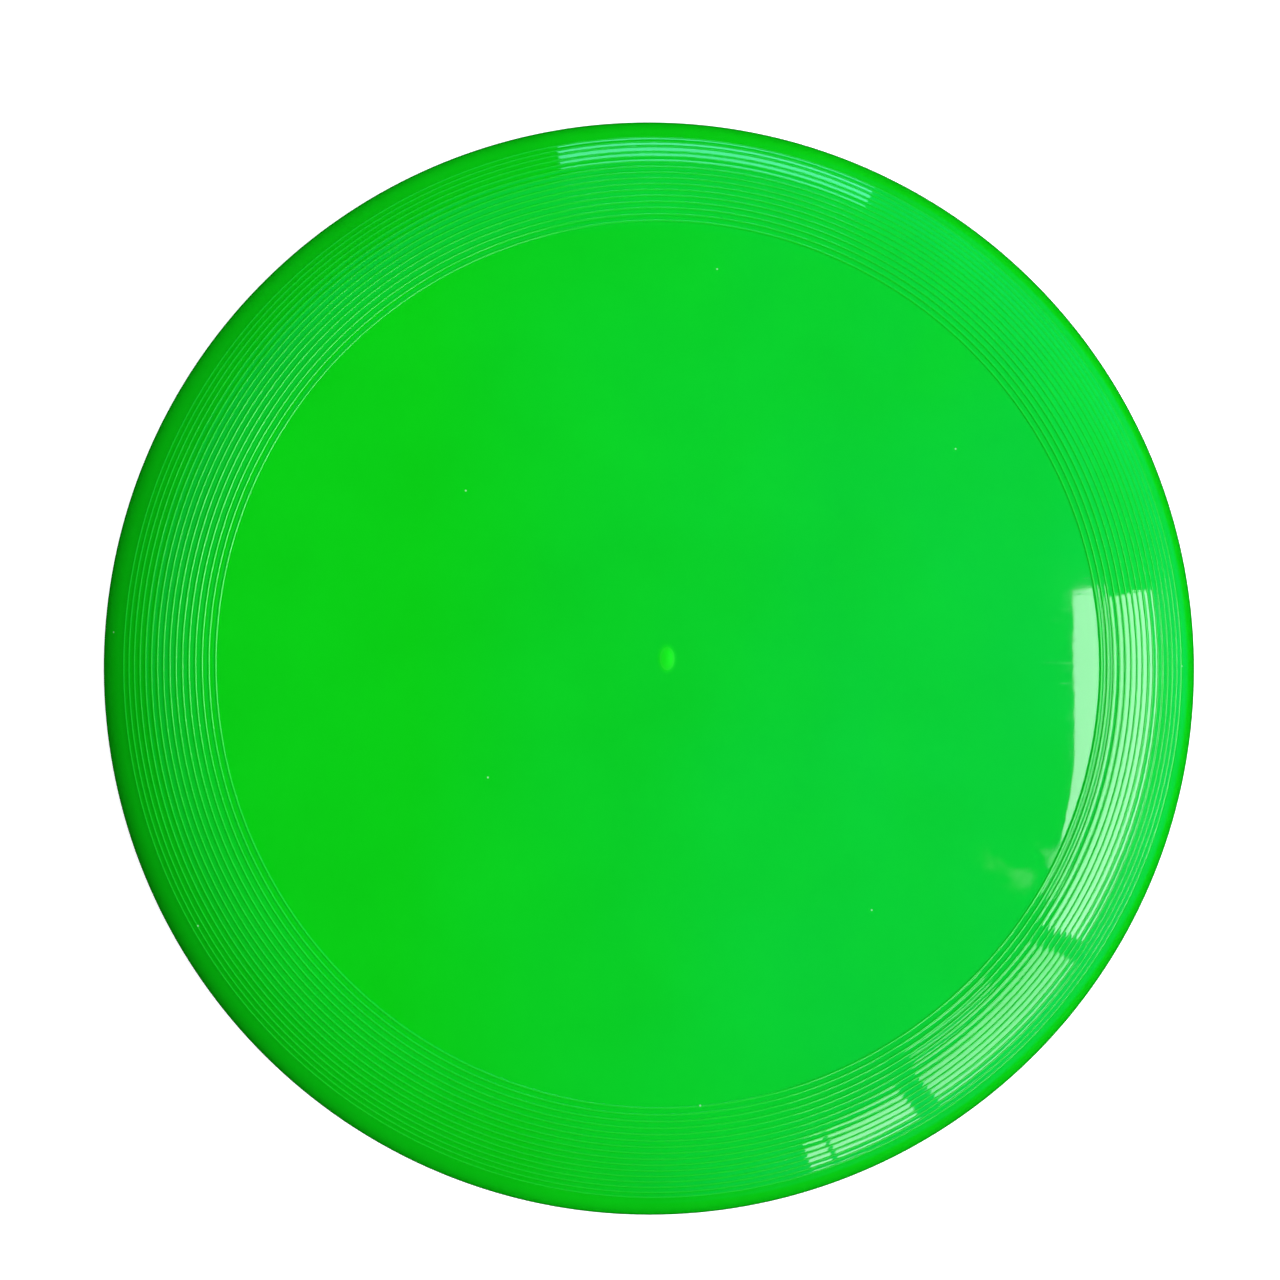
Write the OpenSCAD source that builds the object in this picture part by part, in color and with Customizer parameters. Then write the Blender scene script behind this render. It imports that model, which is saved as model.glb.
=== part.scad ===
// Flying disc: one injection moulding of soft polyethylene.
// The origin is the centre of the ring that it rests on, and +Z is up through the flight plate.
// The moulding is one section turned about Z, so its surfaces are true surfaces of revolution.

/* [Disc] */
// Outer diameter of the rim
disc_d = 273; // [268:1:280]
// Height from the resting face to the middle of the flight plate
disc_h = 32; // [30:0.5:34]

/* [Flight plate] */
// Radius at which the flight plate ends and the shoulder starts
plate_r = 103.6; // [100:0.1:103.6]
// Thickness of the flight plate
plate_t = 1.8; // [1.5:0.1:2.2]
// Rise of the plate's middle above its edge
dome_h = 0.6; // [0.3:0.1:2]

/* [Shoulder] */
// Radius of the shoulder's upper curve
shoulder_curve = 44; // [43:0.5:46]
// Slope at which the shoulder passes into the nose, in degrees
nose_slope = 35; // [35:0.5:38]
// Thickness of the shoulder
shoulder_t = 2; // [1.8:0.1:2.6]
// Width of the step under the plate where the shoulder's extra thickness starts
step_w = 2.5; // [1:0.5:6]

/* [Flight rings] */
// Number of fine ridges round the shoulder
ring_count = 16; // [4:1:16]
// Distance from ridge to ridge
ring_pitch = 1.545; // [1.2:0.005:1.55]
// Radius of the innermost ridge
first_ring_r = 103.6; // [103.5:0.1:104]
// Radius of a ridge's round top
ring_round = 0.3; // [0.24:0.01:0.4]
// Height of a ridge above the shoulder
ring_h = 0.14; // [0.1:0.01:0.22]

/* [Rim] */
// Thickness of the rim where the inner wall meets the finger curve
rim_t = 6.1; // [5.8:0.1:7.4]
// Radius of the lip's outer edge
lip_outer = 4; // [3:0.1:4.3]
// Radius of the lip's inner edge
lip_inner = 1.4; // [0.8:0.1:1.6]
// Draft of the inner wall, in degrees
draft = 1; // [0.5:0.5:2]

/* [Gate] */
// Width of the low scar where the gate was cut off
scar_w = 3.8; // [3:0.1:5]
// Length of the scar
scar_l = 6; // [5.5:0.1:7]
// Height of the scar
scar_h = 0.25; // [0.15:0.05:0.4]

/* [Ejector marks] */
// Number of ejector pins that left a mark under the plate
pin_count = 8; // [4:1:12]
// Diameter of a pin's mark
pin_d = 8; // [5:0.5:10]
// Depth of a pin's mark
pin_depth = 0.15; // [0.05:0.05:0.3]
// Radius of the circle of marks
pin_ring_r = 88; // [60:1:92]

/* [Hidden] */
$fn = 180;

arc_steps = 16;                                         // straight pieces in each arc of the section
disc_r = disc_d / 2;
edge_z = disc_h - dome_h;                               // top of the plate at its edge
dome_r = (plate_r * plate_r + dome_h * dome_h) / (2 * dome_h);
edge_slope = asin(plate_r / dome_r);                    // slope with which the dome meets the shoulder

// Centre of the shoulder's curve, which leaves the dome without a kink
shoulder_c = [plate_r - shoulder_curve * sin(edge_slope), edge_z - shoulder_curve * cos(edge_slope)];

// Nose, from the shoulder to the upright outer wall
nose_start = shoulder_c + shoulder_curve * [sin(nose_slope), cos(nose_slope)];
nose_curve = (disc_r - nose_start[0]) / (1 - sin(nose_slope));
nose_c = [disc_r - nose_curve, nose_start[1] - nose_curve * cos(nose_slope)];
lip_r = min(lip_outer, nose_c[1]);

// Underside of the plate and the shoulder
under_dome_r = dome_r - plate_t;
under_dome_c = [0, disc_h - dome_r];
under_curve = shoulder_curve - shoulder_t;
step_r = plate_r - step_w;

// Finger curve, from the shoulder's underside to the inner wall
wall_r = disc_r - rim_t;
finger_start = shoulder_c + under_curve * [sin(nose_slope), cos(nose_slope)];
finger_curve = (wall_r - finger_start[0]) / (1 - sin(nose_slope));
finger_c = [wall_r - finger_curve, finger_start[1] - finger_curve * cos(nose_slope)];
foot_r = wall_r + (finger_c[1] - lip_inner) * tan(draft);

// Gate: the scar is two caps of one sphere, rooted in the plate
scar_curve = (scar_w * scar_w / 4 + scar_h * scar_h) / (2 * scar_h);
scar_root = plate_t / 2;

// Points on an arc about c from slope a0 to slope a1, where slope 0 is the arc's top
function arc(c, r, a0, a1) =
    [for (i = [0:arc_steps]) let (a = a0 + (a1 - a0) * i / arc_steps) c + r * [sin(a), cos(a)]];

// Slope of the shoulder at a radius
function slope_at(r) = asin((r - shoulder_c[0]) / shoulder_curve);

// The smooth outside, from the axis to the resting face
outside = concat(
    arc(under_dome_c, dome_r, 0, edge_slope),
    arc(shoulder_c, shoulder_curve, edge_slope, nose_slope),
    arc(nose_c, nose_curve, nose_slope, 90),
    arc([disc_r - lip_r, lip_r], lip_r, 90, 180));

// The inside, from the resting face back to the axis
inside = concat(
    arc([foot_r + lip_inner, lip_inner], lip_inner, 180, 270),
    arc(finger_c, finger_curve, 90, nose_slope),
    arc(shoulder_c, under_curve, nose_slope, edge_slope),
    arc(under_dome_c, under_dome_r, asin(step_r / under_dome_r), 0));

// The moulding's section without its rings
module section() {
    polygon(concat(outside, inside));
}

// One ridge's section, a circle of which only the top stands out of the shoulder
module ridge(r) {
    a = slope_at(r);
    translate(shoulder_c + (shoulder_curve + ring_h - ring_round) * [sin(a), cos(a)])
        circle(r = ring_round);
}

// The scar that the cut gate left, a low oval mound at the middle of the plate's top
module gate_scar() {
    for (side = [-1, 1])
        translate([0, side * (scar_l - scar_w) / 2, disc_h])
            intersection() {
                translate([0, 0, scar_h - scar_curve])
                    sphere(r = scar_curve);
                translate([0, 0, -scar_root])
                    cylinder(r = scar_w, h = scar_w);
            }
}

// Shallow pockets that the ejector pins left under the plate
module pin_marks() {
    pin_top = under_dome_c[1] + sqrt(pow(under_dome_r, 2) - pow(pin_ring_r, 2)) + pin_depth;
    for (i = [0:pin_count - 1])
        rotate(360 / pin_count * i)
            translate([pin_ring_r, 0, pin_top - 1])
                cylinder(d = pin_d, h = 1);
}

module disc() {
    color("limegreen")
        difference() {
            union() {
                rotate_extrude()
                    section();
                for (i = [0:ring_count - 1])
                    rotate_extrude()
                        ridge(first_ring_r + ring_pitch * i);
                gate_scar();
            }
            pin_marks();
        }
}

disc();
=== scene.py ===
"""Flying disc of soft polyethylene, turned as one surface and set on a pale floor beside tall windows."""

import math

import bpy
import numpy as np
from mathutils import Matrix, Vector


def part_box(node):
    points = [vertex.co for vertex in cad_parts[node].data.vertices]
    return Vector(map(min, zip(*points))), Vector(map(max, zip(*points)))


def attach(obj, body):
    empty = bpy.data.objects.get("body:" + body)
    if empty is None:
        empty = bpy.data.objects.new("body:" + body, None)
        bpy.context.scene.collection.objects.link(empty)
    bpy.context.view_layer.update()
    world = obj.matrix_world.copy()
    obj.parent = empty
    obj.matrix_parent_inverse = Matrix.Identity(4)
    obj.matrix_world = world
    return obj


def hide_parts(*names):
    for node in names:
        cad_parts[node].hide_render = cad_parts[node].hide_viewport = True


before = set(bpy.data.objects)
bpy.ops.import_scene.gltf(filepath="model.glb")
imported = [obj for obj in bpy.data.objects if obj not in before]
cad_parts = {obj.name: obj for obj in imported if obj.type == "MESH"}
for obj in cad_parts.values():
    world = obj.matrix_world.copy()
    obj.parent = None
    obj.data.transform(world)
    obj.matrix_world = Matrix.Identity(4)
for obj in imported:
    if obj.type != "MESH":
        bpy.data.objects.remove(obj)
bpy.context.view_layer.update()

MM = 0.001

# Driving dimensions in millimetres, with slopes in degrees. The outer radius comes from the frame.
DISC_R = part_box("disc")[1].x / MM
DISC_H = 32.0
PLATE_R = 103.6
PLATE_T = 1.8
DOME_H = 0.6
SHOULDER_CURVE = 44.0
SHOULDER_T = 2.0
NOSE_SLOPE = 35.0
STEP_W = 2.5
RING_COUNT = 16
RING_PITCH = 1.545
FIRST_RING_R = 103.6
RING_ROUND = 0.3
RING_H = 0.14
RIM_T = 6.1
LIP_OUTER = 4.0
LIP_INNER = 1.4
DRAFT = 1.0
SCAR_W = 3.8
SCAR_L = 6.0
SCAR_H = 0.25
PIN_COUNT = 8
PIN_R = 4.0
PIN_DEPTH = 0.15
PIN_RING_R = 88.0

# Marks of making and use, in millimetres: a ring's skirt, the plate's slack, and the scuff's middle and
# reach. The skirt's lift is a share of the ring's height.
SKIRT_W = 0.15
SKIRT_LIFT = 0.07
SLACK = 0.06
SCUFF_AT = (83.0, -50.0, 32.0)
SCUFF_REACH = (20.0, 10.0, 35.0)

# The mesh: steps round the disc, points across a ring's top as shares of its root angle, and cells from the
# middle of an ejector mark to the edge of its patch
AROUND = 288
ACROSS_RING = np.array([-1, -0.96, -0.6, -0.2, 0.2, 0.6, 0.96, 1])
PATCH = 5
PATCH_CELL = 2 * math.pi * PIN_RING_R / AROUND

# Shapes that follow from them
EDGE_Z = DISC_H - DOME_H
DOME_R = (PLATE_R**2 + DOME_H**2) / (2 * DOME_H)
DOME_C = np.array([0, DISC_H - DOME_R])
EDGE_SLOPE = math.degrees(math.asin(PLATE_R / DOME_R))


def on_arc(centre, radius, slope):
    """The point, or points, of an arc where its slope is as given, with slope 0 at the arc's top."""
    a = np.radians(slope)
    return np.asarray(centre) + np.stack([radius * np.sin(a), radius * np.cos(a)], axis=-1)


def arc(centre, radius, start, end, steps):
    """Evenly spaced points on an arc from one slope to another."""
    return on_arc(centre, radius, np.linspace(start, end, steps + 1))


SHOULDER_C = on_arc([PLATE_R, EDGE_Z], -SHOULDER_CURVE, EDGE_SLOPE)
NOSE_START = on_arc(SHOULDER_C, SHOULDER_CURVE, NOSE_SLOPE)
SPREAD = 1 - math.sin(math.radians(NOSE_SLOPE))
RISE = math.cos(math.radians(NOSE_SLOPE))
NOSE_CURVE = (DISC_R - NOSE_START[0]) / SPREAD
NOSE_C = np.array([DISC_R - NOSE_CURVE, NOSE_START[1] - NOSE_CURVE * RISE])
UNDER_CURVE = SHOULDER_CURVE - SHOULDER_T
UNDER_DOME_R = DOME_R - PLATE_T
WALL_R = DISC_R - RIM_T
FINGER_START = on_arc(SHOULDER_C, UNDER_CURVE, NOSE_SLOPE)
FINGER_CURVE = (WALL_R - FINGER_START[0]) / SPREAD
FINGER_C = np.array([WALL_R - FINGER_CURVE, FINGER_START[1] - FINGER_CURVE * RISE])
FOOT_R = WALL_R + (FINGER_C[1] - LIP_INNER) * math.tan(math.radians(DRAFT))


def dome(radius, r):
    """Height of the plate's dome at distance r from the axis: a sphere's cap about the dome's centre."""
    return DOME_C[1] + np.sqrt(radius**2 - np.asarray(r) ** 2)


def plate_profile():
    """The plate's top from the axis out to the first ring, with rows closer together over the gate's scar."""
    over_scar = np.arange(0, 3.6, 0.5)
    beside_scar = [4.5, 6.5, 9.5]
    beyond = np.linspace(13, PLATE_R - 0.6, 30)
    r = np.concatenate([over_scar, beside_scar, beyond])
    return np.stack([r, dome(DOME_R, r)], axis=1)


def ring_profile():
    """The shoulder with its flight rings.

    A ring is the top of a small circle that stands out of the big arc, between plus and minus its root angle.
    Its foot runs out into the arc in a short skirt, whose middle stands SKIRT_LIFT of the ring's height.
    """
    centres = FIRST_RING_R + RING_PITCH * np.arange(RING_COUNT)
    slope = np.degrees(np.arcsin((centres - SHOULDER_C[0]) / SHOULDER_CURVE))
    root = math.degrees(math.acos(1 - RING_H / RING_ROUND))
    foot = RING_ROUND * math.sin(math.radians(root))
    skirt = np.degrees(foot + SKIRT_W * np.array([0.5, 1.0])) / SHOULDER_CURVE
    skirt_r = SHOULDER_CURVE + np.array([SKIRT_LIFT * RING_H, 0])
    rows = []
    for a in slope:
        middle = on_arc(SHOULDER_C, SHOULDER_CURVE + RING_H - RING_ROUND, a)
        rows.append(on_arc(SHOULDER_C, skirt_r[::-1], a - skirt[::-1]))
        rows.append(on_arc(middle, RING_ROUND, a + root * ACROSS_RING))
        rows.append(on_arc(SHOULDER_C, skirt_r, a + skirt))
    return np.concatenate(rows)


def under_plate():
    """The plate's underside from its step in to the axis, with a row for each cell of the ejector marks."""
    step_r = PLATE_R - STEP_W
    marks = PIN_RING_R + PATCH_CELL * np.arange(PATCH, -PATCH - 1, -1)
    r = np.concatenate([[step_r], marks, np.linspace(marks[-1] - 4, 8, 12), [4, 0]])
    foot_of_step = [[step_r + 0.05, EDGE_Z - SHOULDER_T]]
    return np.concatenate([foot_of_step, np.stack([r, dome(UNDER_DOME_R, r)], axis=1)])


def section():
    """The whole section, from the top of the axis round the rim and back to the axis underneath.

    Each arc's last number is its count of steps.
    """
    return np.concatenate([
        plate_profile(),
        ring_profile(),
        arc(NOSE_C, NOSE_CURVE, NOSE_SLOPE, 90, 22),
        arc([DISC_R - LIP_OUTER, LIP_OUTER], LIP_OUTER, 90, 180, 10)[1:],
        arc([FOOT_R + LIP_INNER, LIP_INNER], LIP_INNER, 180, 270 + DRAFT, 8),
        arc(FINGER_C, FINGER_CURVE, 90, NOSE_SLOPE, 10),
        arc(SHOULDER_C, UNDER_CURVE, NOSE_SLOPE - 4, EDGE_SLOPE, 10),
        under_plate(),
    ])


def relief(x, y):
    """How far the plate's top stands off its dome.

    The gate's scar is SCAR_H (1 - q)^2 where q = (2x / SCAR_W)^2 + (2y / SCAR_L)^2 is under 1. The plate's
    slack is SLACK (1 - (r / PLATE_R)^2) times the mean of two slow waves, which a thin moulding keeps as it
    cools.
    """
    q = (2 * x / SCAR_W) ** 2 + (2 * y / SCAR_L) ** 2
    scar = SCAR_H * np.clip(1 - q, 0, None) ** 2
    fade = np.clip(1 - (x**2 + y**2) / PLATE_R**2, 0, None)
    crossed = np.sin((0.9 * x + 0.5 * y) / 8.5 + 0.7) * np.sin((y - 0.4 * x) / 12 + 2)
    slanted = np.sin((x + 1.2 * y) / 19)
    return scar + SLACK * fade * (crossed + slanted) / 2


def turn(profile):
    """The profile carried round Z in AROUND steps: an array of rows, steps and x, y, z."""
    angle = 2 * np.pi * np.arange(AROUND) / AROUND
    x = profile[:, None, 0] * np.cos(angle)
    y = profile[:, None, 0] * np.sin(angle)
    return np.stack([x, y, np.broadcast_to(profile[:, None, 1], x.shape)], axis=-1)


def press_pin_marks(grid, row):
    """Draws the square patch of cells round each ejector mark into circles, and sinks the inner ones.

    A patch's node (i, j) lies on the square c = max(|i|, |j|). It moves to the circle whose radius is
    radii[c], at the angle that keeps the nodes evenly spaced round it. The outermost square stays as it is.
    """
    radii = np.array([0, 0.45 * PIN_R, 0.8 * PIN_R, PIN_R - 0.08, PIN_R + 0.05, 0])
    last_sunk = 3
    i, j = np.meshgrid(np.arange(-PATCH, PATCH + 1), np.arange(-PATCH, PATCH + 1), indexing="ij")
    c = np.maximum(abs(i), abs(j))
    along = abs(i) >= abs(j)
    lead = np.where(along, i, j)
    other = np.where(along, j, i)
    phi = np.pi / 4 * other / np.where(lead == 0, 1, lead)
    phi = np.where(along, phi, np.pi / 2 - phi)
    out = PIN_RING_R + np.sign(lead) * radii[c] * np.cos(phi)
    side = np.sign(lead) * radii[c] * np.sin(phi)
    floor_z = dome(UNDER_DOME_R, PIN_RING_R) + PIN_DEPTH
    z = np.where(c <= last_sunk, floor_z, dome(UNDER_DOME_R, np.hypot(out, side)))
    inside = c < PATCH
    for mark in range(PIN_COUNT):
        angle = 2 * np.pi * mark / PIN_COUNT
        step = (mark * AROUND // PIN_COUNT + j[inside]) % AROUND
        x = out * np.cos(angle) - side * np.sin(angle)
        y = out * np.sin(angle) + side * np.cos(angle)
        grid[row - i[inside], step] = np.stack([x, y, z], axis=-1)[inside]
    return grid


def new_object(name, points, faces):
    """A smooth-shaded mesh object from arrays of points in metres and of corner numbers."""
    mesh = bpy.data.meshes.new(name)
    mesh.from_pydata(points, [], faces)
    mesh.update()
    mesh.polygons.foreach_set("use_smooth", np.ones(len(mesh.polygons), bool))
    item = bpy.data.objects.new(name, mesh)
    bpy.context.scene.collection.objects.link(item)
    return item


def closed(name, grid):
    """A closed solid from rows of points round Z, whose first and last rows each shrink to one pole."""
    body = grid[1:-1].reshape(-1, 3)
    points = np.concatenate([grid[0, :1], body, grid[-1, :1]])
    here = 1 + np.arange(len(body)).reshape(-1, AROUND)
    on = np.roll(here, -1, axis=1)
    quads = np.stack([here[:-1], here[1:], on[1:], on[:-1]], axis=-1).reshape(-1, 4)
    top = np.stack([np.zeros(AROUND, int), here[0], on[0]], axis=1)
    bottom = np.stack([np.full(AROUND, len(points) - 1), on[-1], here[-1]], axis=1)
    return new_object(name, points * MM, top.tolist() + quads.tolist() + bottom.tolist())


def moulding():
    """The disc: its section turned, with the relief on the plate's top and the ejector marks underneath."""
    profile = section()
    grid = turn(profile)
    top = len(plate_profile())
    grid[:top, :, 2] += relief(grid[:top, :, 0], grid[:top, :, 1])
    pin_row = int(np.flatnonzero((profile[:, 0] == PIN_RING_R) & (profile[:, 1] > LIP_OUTER))[-1])
    return closed("disc_moulding", press_pin_marks(grid, pin_row))


def srgb(code):
    """A hex colour such as 08d016 as linear red, green, blue and alpha."""
    parts = [int(code[i : i + 2], 16) / 255 for i in (0, 2, 4)]
    return [c / 12.92 if c <= 0.04045 else ((c + 0.055) / 1.055) ** 2.4 for c in parts] + [1.0]


def add(tree, kind, inputs=None, **settings):
    """Adds a node with its settings. An input given a socket is linked to it, and any other is set."""
    node = tree.nodes.new(kind)
    for key, value in settings.items():
        setattr(node, key, value)
    for key, value in (inputs or {}).items():
        if isinstance(value, bpy.types.NodeSocket):
            tree.links.new(value, node.inputs[key])
        else:
            node.inputs[key].default_value = value
    return node


def span(tree, value, start, end, low=0.0, high=1.0, kind="LINEAR"):
    """The value carried from one range to another, and held at its ends."""
    inputs = {"Value": value, "From Min": start, "From Max": end, "To Min": low, "To Max": high}
    return add(tree, "ShaderNodeMapRange", inputs, interpolation_type=kind).outputs["Result"]


def maths(tree, operation, first, second=0.0):
    """Two numbers or sockets joined by an operation."""
    return add(tree, "ShaderNodeMath", {0: first, 1: second}, operation=operation).outputs[0]


def vector(tree, operation, first, second=(0, 0, 0)):
    """Two vectors joined by an operation whose result is a vector."""
    return add(tree, "ShaderNodeVectorMath", {0: first, 1: second}, operation=operation).outputs["Vector"]


def amount(tree, operation, first, second=(0, 0, 0)):
    """The number that an operation on one or two vectors gives."""
    return add(tree, "ShaderNodeVectorMath", {0: first, 1: second}, operation=operation).outputs["Value"]


def noise(tree, place, size, detail=2.0):
    """Noise whose features are about the given size in metres."""
    inputs = {"Vector": place, "Scale": 1 / size, "Detail": detail}
    return add(tree, "ShaderNodeTexNoise", inputs).outputs["Fac"]


def mixed(tree, factor, first, second):
    """Two colours mixed by a factor. Inputs 6 and 7 are the node's colours, and output 2 is their mix."""
    inputs = {"Factor": factor, 6: first, 7: second}
    return add(tree, "ShaderNodeMix", inputs, data_type="RGBA").outputs[2]


def gate_patch(tree, place):
    """1 on the oval where the gate was cut off and 0 beyond it: a soft-edged ellipsoid of the scar's size."""
    reach = (SCAR_W / 2 * MM, SCAR_L / 2 * MM, MM)
    off = vector(tree, "SUBTRACT", place, (0, 0, DISC_H * MM))
    far = amount(tree, "LENGTH", vector(tree, "DIVIDE", off, reach))
    return span(tree, far, 0.5, 1.35, 1.0, 0.0, "SMOOTHSTEP")


def scuff_patch(tree, place):
    """1 where one side of the plate is scuffed: streaks of 6 mm, broken up inside a soft ellipsoid."""
    off = vector(tree, "SUBTRACT", place, [v * MM for v in SCUFF_AT])
    far = amount(tree, "LENGTH", vector(tree, "DIVIDE", off, [v * MM for v in SCUFF_REACH]))
    broken = span(tree, noise(tree, place, 0.006, 5.0), 0.4, 0.7)
    return maths(tree, "MULTIPLY", span(tree, far, 0.3, 1.0, 1.0, 0.0), broken)


def ring_tops(tree, place):
    """1 along the top of each flight ring and 0 between: the distance from the axis, counted in pitches."""
    start = (FIRST_RING_R - RING_PITCH / 2) * MM
    end = start + RING_COUNT * RING_PITCH * MM
    out = amount(tree, "LENGTH", vector(tree, "MULTIPLY", place, (1, 1, 0)))
    count = span(tree, out, start, end, 0.0, RING_COUNT)
    across = maths(tree, "ABSOLUTE", maths(tree, "SUBTRACT", maths(tree, "FRACT", count), 0.5))
    return span(tree, across, 0.13, 0.2, 1.0, 0.0)


def skin_height(tree, place):
    """Height of the skin: the mould's polish leaves an orange peel of 2.5 mm, and use adds long scratches."""
    peel = noise(tree, place, 0.0025, 1.0)
    stretch = {"Vector": place, "Rotation": (0, 0, 0.6), "Scale": (1, 45, 1)}
    lengthwise = add(tree, "ShaderNodeMapping", stretch).outputs["Vector"]
    scratch = span(tree, noise(tree, lengthwise, 0.03, 3.0), 0.66, 0.7)
    return maths(tree, "SUBTRACT", peel, maths(tree, "MULTIPLY", scratch, 0.6))


def polyethylene():
    """Injection-moulded low-density polyethylene: waxy, shiny, and a little clear to light under its skin."""
    gate_rough, scuff_rough, ring_rough = 0.5, 0.2, 0.24
    material = bpy.data.materials.new("moulded_low_density_polyethylene")
    material.use_nodes = True
    tree = material.node_tree
    shader = tree.nodes["Principled BSDF"]
    place = add(tree, "ShaderNodeTexCoord").outputs["Object"]
    gate = gate_patch(tree, place)

    # The pigment isn't quite even, so the colour drifts over some 30 mm. The gate's scar is matt and paler.
    colour = mixed(tree, noise(tree, place, 0.03), srgb("08bb0f"), srgb("0ac613"))
    colour = mixed(tree, maths(tree, "MULTIPLY", gate, 0.6), colour, srgb("0ee41a"))
    tree.links.new(span(tree, gate, 0.0, 1.0, 0.5, 0.1), shader.inputs["Specular IOR Level"])

    # Dust: one grain of some 0.4 mm in each cell of 80 mm. Its edge is given as a share of the cell.
    cells = {"Vector": place, "Scale": 1 / 0.08}
    dust = add(tree, "ShaderNodeTexVoronoi", cells, voronoi_dimensions="2D").outputs["Distance"]
    grain = span(tree, dust, 0.0018, 0.0032, 1.0, 0.0)
    colour = mixed(tree, maths(tree, "MULTIPLY", grain, 0.6), colour, srgb("b9e8bd"))
    tree.links.new(colour, shader.inputs["Base Color"])

    # Hands leave smudges that dull the gloss in patches. The rings come out of fine grooves in the mould that
    # no polish reaches, so their tops are less glossy than the plate.
    rough = span(tree, noise(tree, place, 0.028, 6.0), 0.6, 0.8, 0.02, 0.06)
    scuff, tops = scuff_patch(tree, place), ring_tops(tree, place)
    for patch, roughness in ((gate, gate_rough), (scuff, scuff_rough), (tops, ring_rough)):
        rough = maths(tree, "MAXIMUM", rough, maths(tree, "MULTIPLY", patch, roughness))
    tree.links.new(rough, shader.inputs["Roughness"])
    shader.inputs["IOR"].default_value = 1.51

    # Light goes a millimetre or so into the plastic, which softens the shading of the fine rings.
    shader.inputs["Subsurface Weight"].default_value = 0.6
    shader.inputs["Subsurface Radius"].default_value = (0.2, 1.0, 0.25)
    shader.inputs["Subsurface Scale"].default_value = 0.8 * MM

    # The peel and the scratches are a micrometre or two deep, so they show only in the reflections.
    skin = {"Height": skin_height(tree, place), "Distance": 0.0015 * MM, "Strength": 1.0}
    tree.links.new(add(tree, "ShaderNodeBump", skin).outputs["Normal"], shader.inputs["Normal"])
    return material


disc = moulding()
disc.data.materials.append(polyethylene())
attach(disc, "root")
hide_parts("disc")


def floor():
    """A pale matt floor under the resting ring, which the disc's gloss doesn't pick up."""
    half = 3.0
    corners = [[-half, -half, 0], [half, -half, 0], [half, half, 0], [-half, half, 0]]
    item = new_object("floor", corners, [[0, 1, 2, 3]])
    material = bpy.data.materials.new("white_paper")
    material.use_nodes = True
    shader = material.node_tree.nodes["Principled BSDF"]
    shader.inputs["Base Color"].default_value = srgb("fafafa")
    shader.inputs["Roughness"].default_value = 0.9
    shader.inputs["Specular IOR Level"].default_value = 0.0
    shader.inputs["Emission Color"].default_value = (1, 1, 1, 1)
    shader.inputs["Emission Strength"].default_value = 0.5
    item.data.materials.append(material)
    item.visible_glossy = False
    item.visible_diffuse = False


def area_light(name, centre, facing, size, radiance, colour):
    """A rectangular light that gives the same radiance whatever its size."""
    data = bpy.data.lights.new(name, "AREA")
    data.shape = "RECTANGLE"
    data.size, data.size_y = size
    data.energy = radiance * math.pi * size[0] * size[1]
    data.color = srgb(colour)[:3]
    item = bpy.data.objects.new(name, data)
    item.location = centre
    item.rotation_euler = [math.radians(angle) for angle in facing]
    bpy.context.scene.collection.objects.link(item)
    return item


# One wall of windows stands to the right. Its panes' sides, and the heights of its two rows, are shares of
# its distance from the disc. A pane of the lower row is given by its sides, sill and radiance, and a transom
# by its sides and radiance.
WALL_X = 4.0
PANE_COLOUR = "f0e7ff"
PANE_TOP = 1.33
PANES = [
    ((-0.60, 0.15), 0.45, 8.8),
    ((-1.40, -0.66), 0.34, 5.0),
    ((-2.35, -1.55), 0.34, 6.0),
    ((-2.75, -2.42), 0.34, 6.0),
]
TRANSOM_HEIGHTS = (1.87, 2.145)
TRANSOMS = [((-0.49, 0.18), 9.2), ((-1.30, -0.80), 5.0)]


def window(name, sides, heights, radiance):
    """A pane in the wall, which shines along -X."""
    centre = (WALL_X, WALL_X * sum(sides) / 2, WALL_X * sum(heights) / 2)
    size = (WALL_X * (heights[1] - heights[0]), WALL_X * (sides[1] - sides[0]))
    area_light(name, centre, (0, 90, 0), size, radiance, PANE_COLOUR)


def daylight():
    """The windows, the bright wall at the far side, and light above it that the gloss doesn't pick up."""
    for i, (sides, sill, radiance) in enumerate(PANES):
        window(f"pane_{i + 1}", sides, (sill, PANE_TOP), radiance)
    for i, (sides, radiance) in enumerate(TRANSOMS):
        window(f"transom_{i + 1}", sides, TRANSOM_HEIGHTS, radiance)
    area_light("far_wall", (0.74, 4.0, 0.9), (-90, 0, 0), (2.6, 1.04), 4.8, "90e8ff")
    north = area_light("north_light", (0.1, 1.3, 1.1), (-50, 0, 0), (1.0, 1.0), 4.0, "ffffff")
    north.visible_glossy = False


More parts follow.
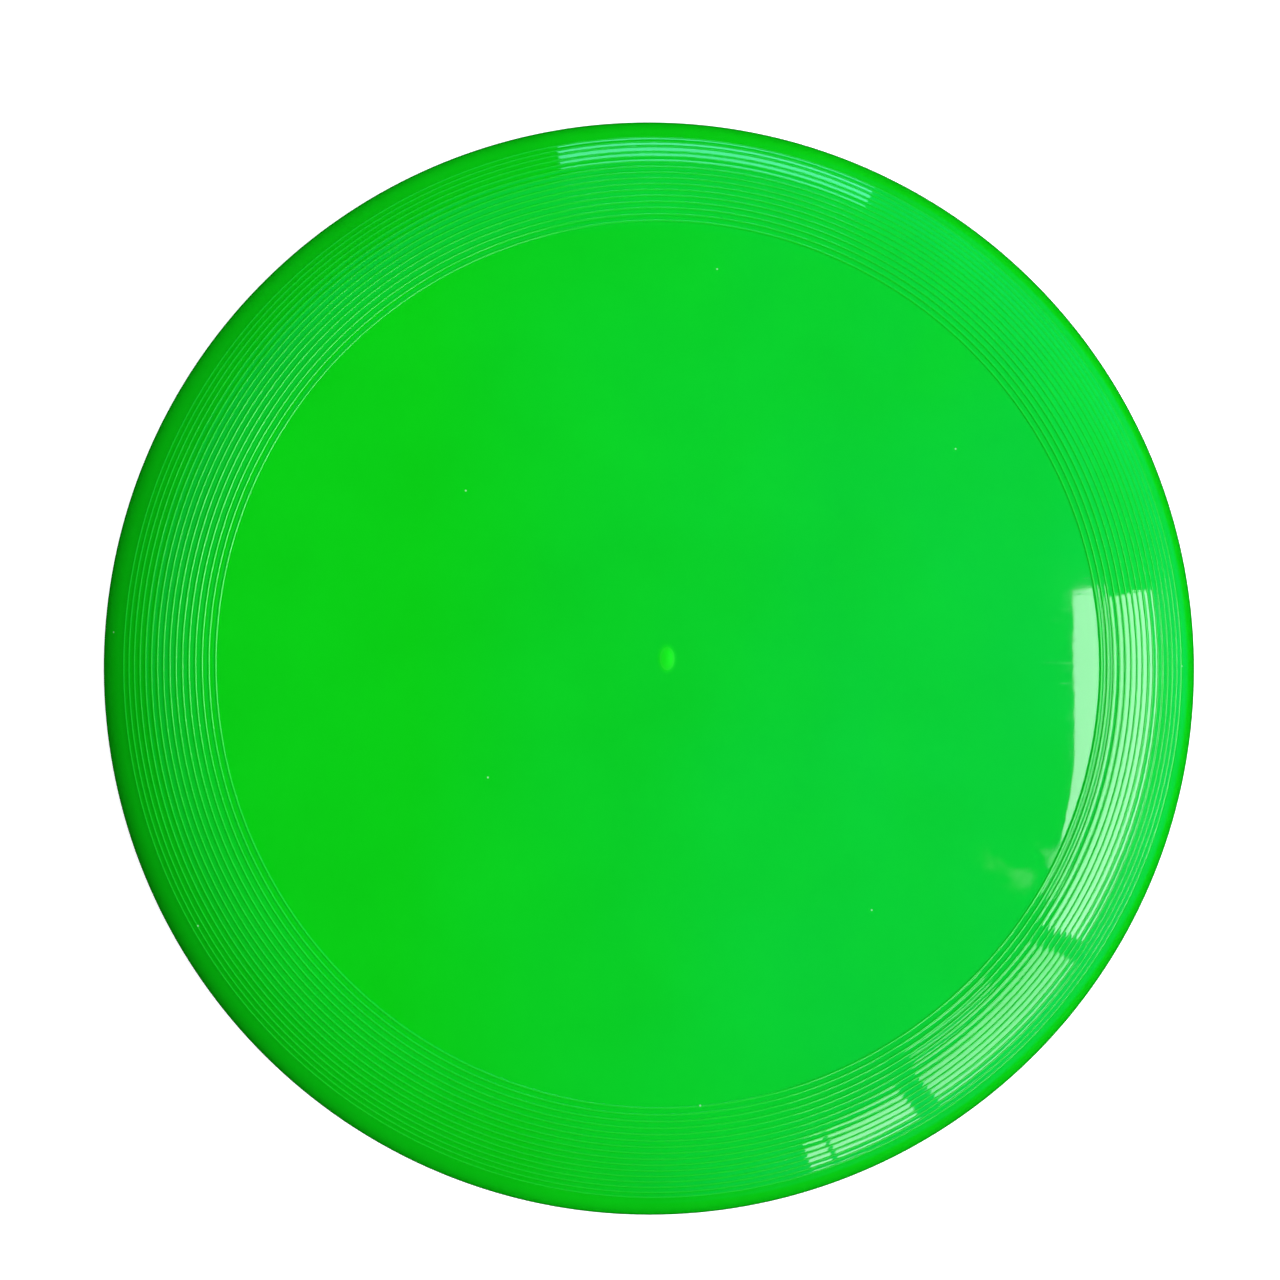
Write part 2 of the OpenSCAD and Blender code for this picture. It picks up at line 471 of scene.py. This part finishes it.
def room():
    """The rest of the room: white fill that lights the plastic, and a dim blue room that its gloss shows."""
    world = bpy.data.worlds.new("room")
    world.use_nodes = True
    tree = world.node_tree
    way = add(tree, "ShaderNodeTexCoord").outputs["Generated"]
    split = add(tree, "ShaderNodeSeparateXYZ", {"Vector": way}).outputs
    up = split["Z"]

    # The haze grows towards the windows in soft clouds, and fades out round the horizon.
    toward = amount(tree, "DOT_PRODUCT", way, (1, -0.05, 0))
    cloud = span(tree, noise(tree, way, 0.18), 0.3, 0.7, 0.75, 1.25)
    haze = maths(tree, "MULTIPLY", span(tree, toward, -0.15, 0.5, 0.03, 1.0), cloud)
    low_side = maths(tree, "ADD", up, maths(tree, "MULTIPLY", toward, 0.25))
    haze = maths(tree, "MULTIPLY", haze, span(tree, low_side, -0.1, 0.3))

    # The ceiling is a band round the zenith, brighter towards the far side.
    band = maths(tree, "MULTIPLY", span(tree, up, 0.44, 0.48), span(tree, up, 0.91, 0.93, 1.0, 0.0))
    ceiling = maths(tree, "MULTIPLY", band, span(tree, split["Y"], -0.9, 0.9, 0.0, 0.75))

    # The fill comes mostly from above, the windows' side and the near side.
    from_side = amount(tree, "DOT_PRODUCT", way, (0.6, -0.6, 0.53))
    fill = {"Color": (1, 1, 1, 1), "Strength": span(tree, from_side, -0.6, 0.5, 0.2, 0.58)}
    seen = {"Color": (0, 0.25, 1, 1), "Strength": maths(tree, "MAXIMUM", haze, ceiling)}
    both = {
        0: add(tree, "ShaderNodeLightPath").outputs["Is Glossy Ray"],
        1: add(tree, "ShaderNodeBackground", fill).outputs[0],
        2: add(tree, "ShaderNodeBackground", seen).outputs[0],
    }
    shown = add(tree, "ShaderNodeMixShader", both).outputs[0]
    tree.links.new(shown, tree.nodes["World Output"].inputs["Surface"])
    bpy.context.scene.world = world


def look_down():
    """A camera some 30 cm above the floor, near the disc's axis, that leans a few degrees."""
    data = bpy.data.cameras.new("camera")
    data.sensor_width = 36
    data.lens = 32.93
    data.clip_start = 0.01
    camera = bpy.data.objects.new("camera", data)
    camera.location = (-0.02055, -0.00503, 0.304)
    camera.rotation_euler = (math.radians(1.968), math.radians(-2.991), 0)
    bpy.context.scene.collection.objects.link(camera)
    bpy.context.scene.camera = camera
    bpy.context.scene.view_settings.view_transform = "Standard"


floor()
daylight()
room()
look_down()
